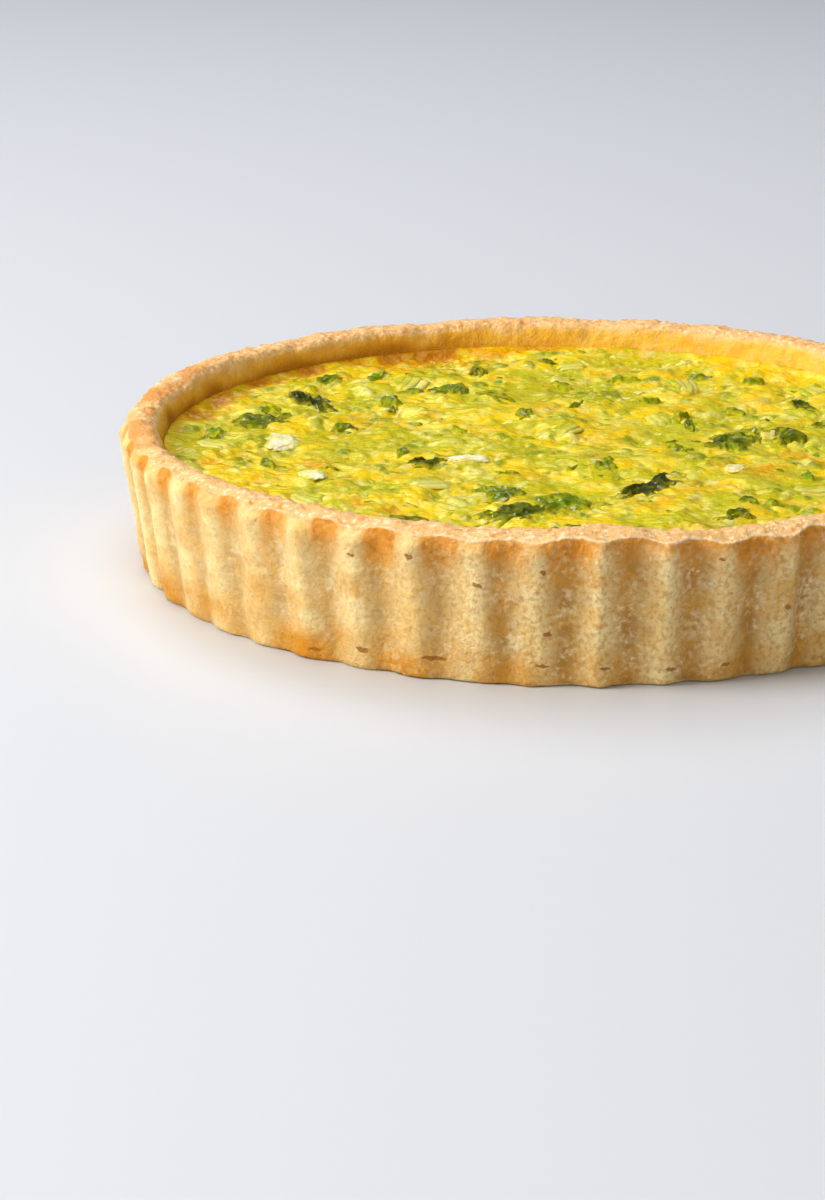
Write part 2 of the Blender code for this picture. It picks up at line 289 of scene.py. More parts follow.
def around(angles, turns, seed):
    return np.array([
        noise.noise(Vector((turns * math.cos(a), turns * math.sin(a), seed))) for a in angles
    ])


def innerRadius(z):
    risen = (z - pastry["floor"]) / (pastry["height"] - pastry["floor"])
    return pastry["floorInner"] + risen * (pastry["rimInner"] - pastry["floorInner"])


def outerRadius(z):  # over the ridges
    start = pastry["height"] - pastry["lipDrop"] - pastry["shoulderHeight"]
    curved = pastry["shoulder"] * np.clip((z - start) / pastry["shoulderHeight"], 0, 1) ** 2
    return pastry["footRadius"] + z / pastry["height"] * (pastry["rimRadius"] - pastry["footRadius"]) - curved


def caseSection():  # half section: radius, height and what part it is, from under the base up, over and in
    rows = [(radius, 0.0, "under") for radius in pastry["underRings"]]
    foot, bend = outerRadius(pastry["footRound"]), pastry["footRound"]
    for a in np.radians(np.linspace(-90, 0, pastry["footRows"] + 1)[:-1]):
        rows.append((foot - bend + bend * math.cos(a), bend + bend * math.sin(a), "wall"))
    lip = pastry["height"] - pastry["lipDrop"]
    for t in np.linspace(0, 1, pastry["wallRows"]):
        z = mix(bend, lip - 0.35 * mm, 1 - (1 - t) ** 1.15)
        rows.append((outerRadius(z), z, "wall"))
    edge = outerRadius(lip)
    rows.append((edge + 0.1 * mm, lip - 0.1 * mm, "lip"))
    rows.append((edge - 0.1 * mm, lip + 0.12 * mm, "lip"))
    for t in np.linspace(0, 1, pastry["rimRows"] + 1)[1:]:
        crown = pastry["height"] + 0.6 * mm - 0.9 * mm * abs(t - 0.68) ** 1.7
        z = mix(lip + 0.15 * mm, crown, smoothStep(t, 0, 0.3))
        rows.append((mix(edge - 0.3 * mm, pastry["rimInner"] + 0.7 * pastry["innerRound"], t), z, "rim"))
    bend = pastry["innerRound"]
    for a in np.radians(np.linspace(62, 0, pastry["bendRows"])):
        z = pastry["height"] + 0.5 * mm - bend + bend * math.sin(a)
        rows.append((innerRadius(z) + bend - bend * math.cos(a), z, "bend"))
    for z in np.linspace(pastry["height"] - bend, pastry["level"] - 2.5 * mm, pastry["insideRows"]):
        rows.append((innerRadius(z), z, "inside"))
    rows.append((pastry["floorInner"], pastry["floor"], "inside"))
    return rows


def fluteNumber(angles, seed):  # the same random number, -1 to 1, over one groove
    turn = (angles - pastry["firstRidge"]) * pastry["flutes"] / (2 * math.pi) - 0.5
    low = np.floor(turn + 0.5) % pastry["flutes"]
    return 2 * hashed(flat(low, low * 0) + 7, seed) - 1


def rimMoves(angles):  # how far the rim rose and moved inwards
    rise = 0.3 * mm * (around(angles, 2.3, 1.7) + around(angles, 7, 4.1))
    rise = rise + 0.25 * mm * around(angles, 60, 8.3) + 0.2 * mm * around(angles, 130, 2.2)
    inwards = 0.8 * mm * around(angles, 12, 2.6) + 0.5 * mm * around(angles, 34, 6.6)
    for centre, halfWidth, stretchRise, stretchInwards in pastry["stretches"]:
        away = np.remainder(angles - math.radians(centre) + math.pi, 2 * math.pi) - math.pi
        near = bell(away / math.radians(halfWidth))
        rise = rise + stretchRise * mm * near
        inwards = inwards + stretchInwards * mm * near
    return rise, inwards


def allCracks():  # those in front, and the like of them the rest of the way round
    rng = np.random.default_rng(4)
    cracks = list(pastry["cracks"])
    while len(cracks) < pastry["crackCount"]:
        turn = rng.uniform(-180, 180)
        z = rng.uniform(2.5, 7) if len(cracks) % 2 else rng.uniform(8, 31)
        if turn > pastry["cracksFrom"]:
            cracks.append((turn, z, rng.uniform(1.4, 4.6), rng.uniform(0.4, 0.8)))
    return cracks


def crackPlaces(angles, up):  # place along and up the nearest crack in its half sizes, and 1 near one
    arc = angles * pastry["rimRadius"]
    along, rise, nearest = (np.full(up.shape, start) for start in (9.0, 9.0, 99.0))
    for turn, z, wide, tall in allCracks():
        du = (arc - math.radians(turn) * pastry["rimRadius"]) / (wide * mm / 2) + 0 * up
        dv = (up - z * mm) / (0.8 * tall * mm) + 0.3 * du
        apart = np.hypot(du, 0.5 * dv)
        closer = apart < nearest
        along, rise = np.where(closer, du, along), np.where(closer, dv, rise)
        nearest = np.minimum(nearest, apart)
    return along, rise, nearest < 2.6


def crumb(points, rimShare, inGroove):  # how far the pastry's unevenness stands out, most on the rim
    relief = addLumps(0, points, pastry["relief"])
    relief = relief + 0.13 * mm * lumps(points, 1.1 * mm, 12) * (0.6 + 0.8 * inGroove)
    flakes = np.floor(2.5 * lumps(points, 4.5 * mm, 6) + 0.5) / 2.5
    return relief + rimShare * (addLumps(0, points, pastry["rimRelief"]) + 0.14 * mm * flakes)


def shapeCase():  # the case's points, and what its colours follow at each of them
    radius, height, kind = (np.array(values)[:, None] for values in zip(*caseSection()))
    columns = pastry["flutes"] * pastry["columnsPerFlute"]
    angles = np.arange(columns) / columns * 2 * math.pi - math.pi
    top = pastry["height"]
    rimShare = (kind == "rim") | (kind == "lip")
    rimShare = rimShare + (kind == "bend") * smoothStep(height, top - 1.6 * mm, top + 0.4 * mm)
    inner = innerRadius(height)
    share = smoothStep((radius - inner) / (outerRadius(height) - inner))  # of the flutes' depth, 1 outside
    share = np.where(kind == "under", smoothStep(radius, 60 * mm, 108 * mm), share)
    high = smoothStep(height, pastry["level"], top)
    topShare = smoothStep(height, top - 3.2 * mm, top - 0.6 * mm)

    along = (angles - pastry["firstRidge"]) * pastry["flutes"] + 0.3 * around(angles, 14, 9.1)
    wave = 0.5 - 0.5 * np.cos(along)
    groove = mix(wave**1.3, wave**0.82, smoothStep(height, 2 * mm, 24 * mm))
    # 1 on each groove's left flank, which is painted as the side in shade
    shadedLeftFlank = 0.5 + 0.5 * np.sin(along)
    slumped = facing(angles, pastry["slumpSide"], 0.35, 0.9)
    depth = mix(pastry["footFluteDepth"], pastry["fluteDepth"], smoothStep(height, 0, pastry["footFade"]))
    depth = depth + topShare * (pastry["lipFluteDepth"] + 0.6 * mm * slumped - pastry["fluteDepth"])
    depth = depth * (1 + 0.15 * fluteNumber(angles, 5)) * (1 - 0.15 * slumped)

    rise, inwards = rimMoves(angles)
    lift = (pastry["grooveLift"] + 0.35 * mm * fluteNumber(angles, 15)) * groove * share
    away = radius - depth * groove * share + 0.6 * mm * around(angles, 26, 5.5) * share
    away = away - inwards * high * (1 - share) - 1.1 * mm * slumped * (1 - groove) * topShare * share
    up = height + high * (rise + lift - 0.5 * mm * slumped * (1 - groove) * share**3)
    points = np.stack([away * np.cos(angles), away * np.sin(angles), up], axis=-1)
    # how far into a groove, for the painted shade there, which is deeper on the groove's shaded left flank
    inGroove = groove * share * (height > 0.5 * mm) * (1 - 0.35 * slumped) * mix(0.75, 1.2, shadedLeftFlank)
    relief = np.where((kind == "under") | (height < 0.3 * mm), 0, crumb(points, rimShare, inGroove))
    points = points + wrappedNormals(points) * relief[..., None]
    return dict(
        points=points, angles=angles, kind=kind, height=height, up=up, share=share, rimShare=rimShare,
        groove=groove, inGroove=inGroove, shadedLeftFlank=shadedLeftFlank, slumped=slumped,
    )


def bakeCase(points, angles, kind, height, up, share, rimShare, groove, inGroove, shadedLeftFlank, slumped):
    # where the case browned, where flour and cracks show, and where shade is painted in the grooves
    isWall, isRim = kind == "wall", (kind == "rim") | (kind == "lip")
    isInside = (kind == "inside") | (kind == "bend")
    below = up[kind[:, 0] == "lip"][0] - up  # how far under the lip
    tanned = facing(angles, pastry["slumpSide"], 0.4, 0.98)
    pale = facing(angles, pastry["paleSide"], 0.75, 0.97)
    shaded = 0.08 + pastry["insideToastAndShade"] * facing(angles, pastry["shadedSide"], 0.0, 0.9)
    backSide = smoothStep(np.sin(angles), 0.0, 0.5)
    # the painted groove shade is lighter right under the lip, where the toast takes over
    inGroove = inGroove * (1 - 0.35 * bell(below / (4 * mm)))

    ownToast = np.clip(0.85 + 0.35 * fluteNumber(angles, 8), 0.5, 1)
    arch = smoothStep(below, -0.3 * mm, 0.6 * mm) * bell(below / (6 * mm)) * ownToast
    # stronger on each groove's shaded left flank: painted shade
    arch = (pastry["archToast"] + 0.9 * slumped) * arch * mix(0.75, 1.1, shadedLeftFlank)
    arch = arch * (1 - 0.4 * pale) * mix(1.25, 1, tanned)
    arch = arch * mix(smoothStep(groove, 0.04, 0.38), smoothStep(groove, 0.3, 0.85), slumped)
    band = (pastry["bandToast"] - 0.75 * slumped) * smoothStep(below, -0.2 * mm, 0.5 * mm)
    band = band * bell(below / (2.8 * mm))
    # painted shade down the left flank of each groove, laid on in the toasted colour
    streak = pastry["shadeStreak"] * inGroove * shadedLeftFlank
    streak = streak * smoothStep(below, 0, 2 * mm) * bell(below / (16 * mm))
    foot = smoothStep(13 * mm - height, 0, 12 * mm) * smoothStep(lumps(points, 12 * mm, 14), -0.6, 0.5)
    footSpots = pastry["footToast"] * foot * tanned * smoothStep(lumps(points, 4 * mm, 18), -0.2, 0.6)
    # the toast, with the painted shade streak in it
    toast = isWall * np.maximum.reduce([arch, band, footSpots, streak])
    belowRim = pastry["height"] + 0.8 * mm - up + 1.8 * mm * lumps(points, 8 * mm, 16)
    # the inside browns toward the custard and is darker on the side in shade: browning with painted shade
    toast = toast + isInside * smoothStep(belowRim, 1.5 * mm, 7 * mm) * shaded
    toast = toast + isRim * (0.1 + 0.1 * shaded) * smoothStep(1 - share, 0.3, 1)
    rimToast = pastry["rimToast"] * facing(angles, pastry["rimToastSide"], 0.84, 0.98)
    rimToast = rimToast + pastry["backRimToast"] * backSide * smoothStep(share, 0.4, 1)
    toast = toast + isRim * rimToast * smoothStep(lumps(points, 5 * mm, 20), -0.4, 0.4)
    toast = np.clip(toast, 0, 1)

    patches = 0.5 * smoothStep(lumps(points, 7 * mm, 19), 0.1, 0.7)
    golden = isWall * np.maximum(mix(0.65, 1.5, tanned) * foot, patches)
    golden = golden + isInside * smoothStep(belowRim, 0, 3.5 * mm)
    flour = isWall * smoothStep(inGroove, 0.0, 0.6) * bell((height - 17 * mm) / (11 * mm))
    # less flour on the shaded left flank and more on the lit right one: flour with painted light and shade
    flour = flour * smoothStep(lumps(points, 5 * mm, 17), -0.8, 0.5) * mix(1.1, 0.35, shadedLeftFlank)
    crackAlong, crackRise, crackNear = crackPlaces(angles, up)
    return dict(
        groove=inGroove, toast=toast, golden=golden, flour=np.clip(flour, 0, 1), rim=rimShare,
        under=kind == "under", inside=isInside, lip=(kind == "lip") * (1 - 0.8 * slumped) * (1 - backSide),
        coarse=(1 - 0.6 * tanned) * (1 - 0.5 * toast),
        crackAlong=crackAlong, crackRise=crackRise, crackNear=crackNear * isWall,
    )


def makeCase(finish):
    shape = shapeCase()
    rows, columns = shape["up"].shape
    masks = {mask: np.broadcast_to(values, (rows, columns)) for mask, values in bakeCase(**shape).items()}
    points = shape["points"].reshape(-1, 3)
    faces = gridFaces(rows, columns, wrap=True).tolist()
    count, last = len(points), len(points) - columns
    for column in range(columns):  # the base and the floor close on a point each
        after = (column + 1) % columns
        faces.append([count, after, column])
        faces.append([count + 1, last + column, last + after])
    points = np.concatenate([points, [[0, 0, 0], [0, 0, pastry["floor"]]]])
    addPiece("pastryCase", points, faces, masks, finish, "shortcrust", ["crust"])


def crackShape(tree, place):  # 1 inside a crack, with a ragged edge
    along, rise = (coverage(tree, place, mask) for mask in ("crackAlong", "crackRise"))
    ragged = addNode(tree, "TexNoise", "Fac", {"Vector": place, "Scale": 1 / (0.9 * mm), "Detail": 3.0})
    ripple = addNode(tree, "MapRange", "Result", {"Value": ragged, "To Min": -1.3, "To Max": 1.3})
    rippled = addNode(tree, "Math", 0, {0: rise, 1: ripple}, operation="ADD")
    spot = addNode(tree, "CombineXYZ", 0, {0: along, 1: rippled})
    away = addNode(tree, "VectorMath", "Value", {0: spot}, operation="LENGTH")
    within = addNode(tree, "MapRange", "Result", {"Value": away, "From Min": 1.05, "From Max": 0.8})
    return coverage(tree, place, within, "crackNear")


def shortcrustBaked():
    # shortcrust pastry, pressed in a tin and baked: matt, sandy and pale, golden where it caught the heat,
    # with painted shade in its grooves, cracks and pits
    look = dict(
        ridge="#F6DFA0", groove="#AC7D32", patch="#E2B056", golden="#CE9022", toasted="#DC8C06",
        dark="#A86206", flour="#F3E3B4", grain="#B87A24", under="#CF9A4E", crack="#A46404",
        rim="#E4B676", rimFleck="#D98E40", rimPale="#F4DEB8", rimToasted="#D4934A",
        inside="#F2CA8E", insideGolden="#F8C64A", insideToasted="#E2A012", insideDark="#AC6C08",
    )
    made, tree, shader = startMaterial("shortcrustBaked", {
        "Roughness": 0.62, "IOR": 1.45, "Specular IOR Level": 0.3,
        "Subsurface Weight": 0.1, "Subsurface Scale": 3 * mm, "Subsurface Radius": (1.0, 0.55, 0.2),
    })
    place = addNode(tree, "TexCoord", "Object")
    inside = layCoats(tree, place, look["inside"], (
        (look["insideGolden"], "golden"),
        (look["insideToasted"], (5 * mm, 0.44, 0.62), 0.45),
        (look["inside"], (3 * mm, 0.52, 0.7), 0.4),
        (look["insideToasted"], "toast"),
        (look["insideDark"], "toast", "toast", 0.9),
    ))
    rim = layCoats(tree, place, look["rim"], (
        (look["rimFleck"], (2.2 * mm, 0.5, 0.72, 4.0)),
        (look["rimPale"], (1.3 * mm, 0.5, 0.66, 4.0), 0.8),
        (look["rimToasted"], "toast"),
    ))
    crack = crackShape(tree, place)
    colour = layCoats(tree, place, look["ridge"], (
        # painted shade in the grooves
        (look["groove"], "groove"),
        (look["patch"], (6 * mm, 0.4, 0.66), 0.5),
        (look["grain"], "coarse", (1.8 * mm, 0.48, 0.7, 4.0), 0.45),
        (look["under"], "under", 0.8),
        (look["golden"], "golden", 0.85),
        (look["toasted"], "toast", (2.5 * mm, 0.1, 0.45, 4.0), 0.85),
        (look["dark"], "toast", "toast", (1.6 * mm, 0.42, 0.7, 4.0), 0.55),
        (look["flour"], "flour", (1.8 * mm, 0.4, 0.62, 6.0), 0.85),
        (look["flour"], "coarse", (7 * mm, 0.36, 0.6), (1.3 * mm, 0.46, 0.7, 5.0), 0.7),
        (look["grain"], "coarse", (1.1 * mm, 0.46, 0.7, 5.0), 0.55),  # sandy grains
        (look["dark"], "coarse", (1.0 * mm, 0.68, 0.76), 0.5),  # pits: dark as painted shade in them
        (inside, "inside"),
        (rim, "rim"),
        (look["rimPale"], "lip", 0.55),
        # cracks: dark golden, as painted shade in the opening
        (look["crack"], crack, 0.85),
    ))
    grain = addBumps(tree, place, ((0.6 * mm, 0.25 * mm), (1.8 * mm, 0.5 * mm)))
    inputs = {"Height": crack, "Normal": grain, "Strength": 1.0, "Distance": 0.25 * mm}
    opened = addNode(tree, "Bump", "Normal", inputs, invert=True)
    fillSockets(tree, shader, {"Base Color": colour, "Normal": opened})
    return made


# the custard: set egg with chopped leek baked into it

custard = dict(
    cells=308,
    tuckedIn=0.5 * mm,  # past the case's inner wall, so that no gap shows
    gap=0.3 * mm,
    foot=4.3 * mm,
    pieceCell=7.5 * mm,  # how far apart the pieces of leek lie
    pieceHeight=1.9 * mm,
    smallHeight=1.2 * mm,  # of the smaller pieces between them
    # lumps: height and size in millimetres, and a seed
    swell=((0.8, 22, 43), (0.75, 9, 44)),
    eggLumps=((0.5, 12, 45), (0.6, 5, 46), (0.25, 2.4, 38)),
    shiftX=((1.5, 6, 41), (0.4, 2.2, 40)),  # these two bend the pieces' outlines
    shiftY=((1.5, 6, 42), (0.4, 2.2, 39)),
    shadedSide=132,  # degrees: the edge browned most there
    # places that caught the heat: x, y and size in millimetres, and how much
    toasted=(
        (-88, -27, 5, 1), (-62, -22, 6, 0.8), (-62, -57, 6, 0.9), (-45, 84, 9, 1), (-29, 77, 7, 0.9),
        (-52, 76, 7, 0.8), (-60, 61, 5, 0.6), (-58, 5, 8, 0.5), (-48, -61, 6, 0.7), (-43, -37, 4, 0.8),
        (-5, 33, 7, 0.5), (6, 5, 6, 0.4), (20, -58, 8, 0.6), (35, -42, 7, 0.4), (40, -15, 9, 0.4),
        (50, -27, 9, 0.8), (60, -5, 6, 0.7), (66, -16, 6, 1), (60, 74, 8, 0.5), (45, 85, 7, 0.5),
        (64, -55, 6, 0.7), (15, 79, 9, 0.5), (31, 35, 6, 0.6), (-30, -34, 8, 0.35), (-20, 10, 8, 0.3),
        (-42, -66, 8, 0.5), (84, 30, 9, 0.6), (80, -35, 8, 0.8), (90, 0, 7, 0.5), (0, 60, 8, 0.3),
        (50, 45, 8, 0.4), (-75, -42, 6, 0.5),
    ),
)


def choppedPieces(x, y, cell, seed):
    # overlapping rounded pieces, each tilted its own way: height 0 to 1, the top piece's own random number,
    # and the place across it
    cellX, cellY = np.floor(x / cell).astype(np.int64), np.floor(y / cell).astype(np.int64)
    best, own, across = np.zeros(x.shape), np.zeros(x.shape), np.zeros(x.shape)
    for stepX in range(-1, 2):
        for stepY in range(-1, 2):
            home = flat(cellX + stepX, cellY + stepY) + 1000  # keeps the cells' numbers above zero
            placeX, placeY, turned, longer, wider, higher, curved, tiltedLong, tiltedWide = (
                hashed(home, seed + k) for k in range(9)
            )
            dx = x - (cellX + stepX + placeX) * cell
            dy = y - (cellY + stepY + placeY) * cell
            turn = turned * math.pi
            u = dx * np.cos(turn) + dy * np.sin(turn)
            v = dy * np.cos(turn) - dx * np.sin(turn)
            v = v + (curved - 0.5) * 0.9 * u * u / cell
            long = cell * mix(0.38, 0.8, longer)
            wide = cell * mix(0.25, 0.5, wider)
            tilt = 0.3 * (tiltedLong - 0.5) * u / long + 0.5 * (tiltedWide - 0.5) * v / wide
            out = (u / long) ** 2 + (v / wide) ** 2
            top = (mix(0.4, 1.0, higher) + tilt) * (1 - np.minimum(out**1.4, 1.2))
            better = top > best
            best = np.where(better, top, best)
            own = np.where(better, higher * 7.31 % 1.0, own)
            across = np.where(better, v / wide, across)
    return best, own, across


def custardShape(x, y):
    # the custard's height with the leek baked into it, how much leek shows, and the leek's own numbers
    ground = flat(x, y)
    bentX = addLumps(x, ground, custard["shiftX"])
    bentY = addLumps(y, ground, custard["shiftY"])
    leek, own, across = choppedPieces(bentX, bentY, custard["pieceCell"], 51)
    small, smallOwn, smallAcross = choppedPieces(bentX, bentY, 0.5 * custard["pieceCell"], 71)
    egg = addLumps(0.9 * mm, ground, custard["eggLumps"])
    pieces = custard["pieceHeight"] * leek
    smallTop = custard["smallHeight"] * small + 0.3 * mm
    useSmall = smallTop > pieces
    own, across = np.where(useSmall, smallOwn, own), np.where(useSmall, smallAcross, across)
    pieces = np.maximum(pieces, smallTop)
    shown = smoothStep(pieces - egg, -0.35 * mm, 0.35 * mm)
    height = 0.85 * (np.maximum(egg, pieces) * 0.6 + mix(egg, pieces, shown) * 0.4)
    height = addLumps(0, ground, custard["swell"]) + height - 0.95 * mm
    return pastry["level"] + height, shown, own, across


def bedHeight(x, y):
    return custardShape(np.asarray(x, float), np.asarray(y, float))[0]


def calmHeight(x, y):  # the bed without its small lumps
    ground = flat(np.asarray(x, float), np.asarray(y, float))
    return pastry["level"] + addLumps(0, ground, custard["swell"]) - 0.1 * mm


def bakeCustard(x, y, height, fromWall):  # where it is toasted, browned, pale or limy, and where it lies low and gets painted shade
    ground = flat(x, y)
    toast = np.zeros(x.shape)
    ragged = 3.5 * mm * lumps(ground, 5 * mm, 48)
    for spotX, spotY, size, heat in custard["toasted"]:
        away = np.hypot(x - spotX * mm, (y - spotY * mm) * 0.8) + ragged
        toast = np.maximum(toast, heat * (1 - smoothStep(away, 0.1 * size * mm, 1.1 * size * mm)))
    shaded = facing(np.arctan2(y, x), custard["shadedSide"], 0.62, 0.88)
    ring = 1 - smoothStep(fromWall + 0.7 * ragged, mix(0, 1, shaded) * mm, mix(4, 11, shaded) * mm)
    toast = np.maximum(toast, ring * mix(0.45, 1, shaded))
    toast = np.maximum(toast, 0.35 * smoothStep(lumps(ground, 9 * mm, 49), 0.5, 0.9))
    lime = 0.7 * lumps(ground, 26 * mm, 59) + lumps(ground, 8 * mm, 57) + 0.4 * lumps(ground, 3 * mm, 58)
    return dict(
        toast=toast,
        browned=ring * shaded * smoothStep(lumps(ground, 7 * mm, 60), -0.6, 0.3),
        pale=smoothStep(lumps(ground, 5 * mm, 50) + 0.5 * lumps(ground, 2.4 * mm, 56), 0.1, 0.5),
        lime=smoothStep(lime, -0.2, 0.3),
        # low places: the hollows between lumps, where shade is painted
        low=smoothStep(calmHeight(x, y) - height, 0.1 * mm, 1.1 * mm),
    )


def makeCustard(finish):
    reach = innerRadius(pastry["level"]) + custard["tuckedIn"]
    x, y = (side * reach for side in discGrid(custard["cells"] + 1))
    height, shown, own, across = custardShape(x, y)
    fromWall = reach - np.hypot(x, y)
    height = mix(pastry["level"] + 1.1 * mm, height, smoothStep(fromWall, 0, 4 * mm))
    height = height + 0.2 * mm * lumps(flat(x, y), 1.4 * mm, 47) * smoothStep(fromWall, 0, 2 * mm)
    masks = bakeCustard(x, y, height, fromWall)
    shown = shown * (1 - 0.85 * smoothStep(0.9 * masks["toast"], 0.3, 0.9))
    masks.update(own=own, across=across, leekShown=shown)

    edge = gridEdge(*x.shape)
    faces = gridFaces(*x.shape).tolist()
    points = np.stack([x, y, height], axis=-1).reshape(-1, 3)
    foot = points[edge].copy()
    foot[:, :2] *= (innerRadius(custard["foot"]) - custard["gap"]) / reach
    foot[:, 2] = custard["foot"]
    count = len(points)
    for i, here in enumerate(edge):
        j = (i + 1) % len(edge)
        faces.append([here, count + i, count + j, edge[j]])
        faces.append([count + i, count + len(edge), count + j])
    points = np.concatenate([points, foot, [[0, 0, custard["foot"]]]])
    addPiece("custard", points, faces, masks, finish, "custard", ["filling"])


leekLook = dict(
    white="#DDD77C", lime="#B6BA10", olive="#8E9A0C", green="#66860C",
    # a piece's own number, 0 to 1, takes it from each shade to the next between these two
    turns=dict(lime=(0.12, 0.4), olive=(0.5, 0.72), green=(0.74, 0.84)),
    ribs=11.0,
)


def leekColour(tree, place):  # from the white of the stalk to its green, striped along its length
    own, across = (coverage(tree, place, mask) for mask in ("own", "across"))
    leek = leekLook["white"]
    for shade, (low, high) in leekLook["turns"].items():
        turned = addNode(tree, "MapRange", "Result", {"Value": own, "From Min": low, "From Max": high})
        leek = layCoats(tree, place, leek, [(leekLook[shade], turned)])
    ribs = addNode(tree, "Math", 0, {0: across, 1: leekLook["ribs"]}, operation="MULTIPLY")
    wave = addNode(tree, "Math", 0, {0: ribs}, operation="SINE")
    stripe = addNode(tree, "MapRange", "Result", {"Value": wave})  # the crests alone
    return layCoats(tree, place, leek, (
        (leekLook["olive"], stripe, 0.08),
        (leekLook["white"], (2 * mm, 0.5, 0.7), 0.45),
    ))


def custardSet():
    # egg custard set in the oven round chopped leek: bright yellow, moist, light goes a little way in
    look = dict(
        egg="#E4C604", eggPale="#E4D44A", eggDeep="#DCA602", eggLime="#B6B408", toasted="#E09A02",
        browned="#B87402", hollow="#8A7C06", glint="#F4E8A0",
    )
    made, tree, shader = startMaterial("custardSet", {
        "Roughness": 0.2, "IOR": 1.45, "Specular IOR Level": 0.22,
        "Subsurface Weight": 0.15, "Subsurface Scale": 2 * mm, "Subsurface Radius": (1.0, 0.8, 0.15),
    })
    place = addNode(tree, "TexCoord", "Object")
    toast = coverage(tree, place, "toast", (3 * mm, 0.34, 0.54))
    colour = layCoats(tree, place, look["egg"], (
        (look["eggPale"], "pale"),
        (look["eggDeep"], (4 * mm, 0.54, 0.68), 0.3),
        (look["eggLime"], "lime", 0.75),
        (leekColour(tree, place), "leekShown", (3.5 * mm, 0.36, 0.52), 0.75),  # under a film of egg in places
        # painted shade in the hollows
        (look["hollow"], "low", 0.45),
        (look["toasted"], toast, 0.85),
        (look["browned"], toast, toast, (2 * mm, 0.5, 0.72), 0.35),
        (look["browned"], "browned", 0.9),
        (look["glint"], (1.2 * mm, 0.64, 0.74), 0.35),
    ))
    normal = addBumps(tree, place, ((0.8 * mm, 0.12 * mm), (2.2 * mm, 0.5 * mm)))
    fillSockets(tree, shader, {"Base Color": colour, "Normal": normal})
    return made


# leek: shreds that lie on the custard, and cuts that are fans of layers lying side by side

shreds = dict(
    count=150,
    reach=95 * mm,
    length=(5, 12),  # millimetres
    width=(2.2, 5.0),
    thick=0.4 * mm,
    stations=19, corners=9,  # along a strip, and round it
)
cuts = dict(
    layers=4,
    thick=0.6 * mm,
    stations=24, corners=9,
    # x, y, length, width in millimetres, turn in degrees
    places=(
        (-89, -9, 15, 8, -30), (-33, -43, 15, 8, 25), (-43, 58, 14, 8, 65), (33, 62, 15, 6, 100),
        (1, 10, 12, 6, 60), (-62, -56, 12, 6, -40), (26, 25, 13, 6, -70), (62, -40, 14, 7, 15),
        (68, 60, 14, 7, 120), (2, 82, 12, 6, 10),
    ),
)


def ribbons(centres, lengths, widths, turns, bends, lifts, sizes):
    # thin curved strips that follow the bed: points as strip, station, corner
    t = np.linspace(-1, 1, sizes["stations"])[None, :]
    turn = turns[:, None] + bends[:, None] * t
    step = lengths[:, None] / 2 * (t[:, 1:] - t[:, :-1])
    start = np.zeros((len(turns), 1))
    dx, dy = (
        np.concatenate([start, np.cumsum(step * part(turn[:, 1:]), axis=1)], axis=1)
        for part in (np.cos, np.sin)
    )
    x = centres[:, :1] + dx - dx.mean(axis=1, keepdims=True)
    y = centres[:, 1:] + dy - dy.mean(axis=1, keepdims=True)
    smooth = bedHeight(x, y)
    for _ in range(3):
        smooth[:, 1:-1] = (smooth[:, :-2] + smooth[:, 2:] + smooth[:, 1:-1]) / 3
    z = 0.5 * (smooth + calmHeight(x, y)) + lifts[:, None] - 1.2 * mm * smoothStep(np.abs(t), 0.5, 1.0)
    taper = np.sqrt(np.clip(1 - np.abs(t) ** 5, 0, 1)) * 0.9 + 0.1
    turned = np.linspace(0, 2 * math.pi, sizes["corners"], endpoint=False)[None, None, :]
    side = np.cos(turned) * (widths[:, None] * taper)[..., None] / 2
    arch = -0.2 * side**2 / np.maximum(widths[:, None, None] / 2, 1e-6)
    top = np.sin(turned) * sizes["thick"] / 2 * taper[..., None]
    px = x[..., None] - np.sin(turn)[..., None] * side
    py = y[..., None] + np.cos(turn)[..., None] * side
    return np.stack([px, py, z[..., None] + top + arch], axis=-1)


def ribbonFaces(points):
    count, stations, corners = points.shape[:3]
    faces = []
    one = gridFaces(stations, corners, wrap=True)
    size = stations * corners
    for index in range(count):
        faces.extend((one + index * size).tolist())
        faces.append(list(range(index * size, index * size + corners)))
        faces.append(list(range((index + 1) * size - 1, (index + 1) * size - corners - 1, -1)))
    return faces


def numbered(name, places):  # the names of the nodes that one piece replaces
    return [f"{name}_{i + 1}" for i in range(len(places))]


def insideDisc(rng, count, reach):
    turn, away = rng.uniform(0, 2 * math.pi, count), reach * np.sqrt(rng.uniform(0, 1, count))
    return np.stack([away * np.cos(turn), away * np.sin(turn)], axis=-1)


def addLeek(name, points, owns, finish, nodes):  # each strip has its own number, which sets its shade
    shape = points.shape[:3]
    across = np.cos(np.linspace(0, 2 * math.pi, shape[2], endpoint=False))
    masks = dict(own=np.broadcast_to(owns[:, None, None], shape), across=np.broadcast_to(across, shape))
    addPiece(name, points, ribbonFaces(points), masks, finish, "leek", nodes)


def makeShreds(finish):
    rng = np.random.default_rng(21)
    count = shreds["count"]
    points = ribbons(
        insideDisc(rng, count, shreds["reach"]),
        rng.uniform(*shreds["length"], count) * mm,
        rng.uniform(*shreds["width"], count) * mm,
        rng.uniform(0, math.pi, count),
        rng.normal(0, 0.4, count),
        rng.uniform(-0.3, 0.05, count) * mm,
        shreds,
    )
    addLeek("leekShreds", points, rng.uniform(0, 0.97, count) ** 1.2, finish, ["filling"])


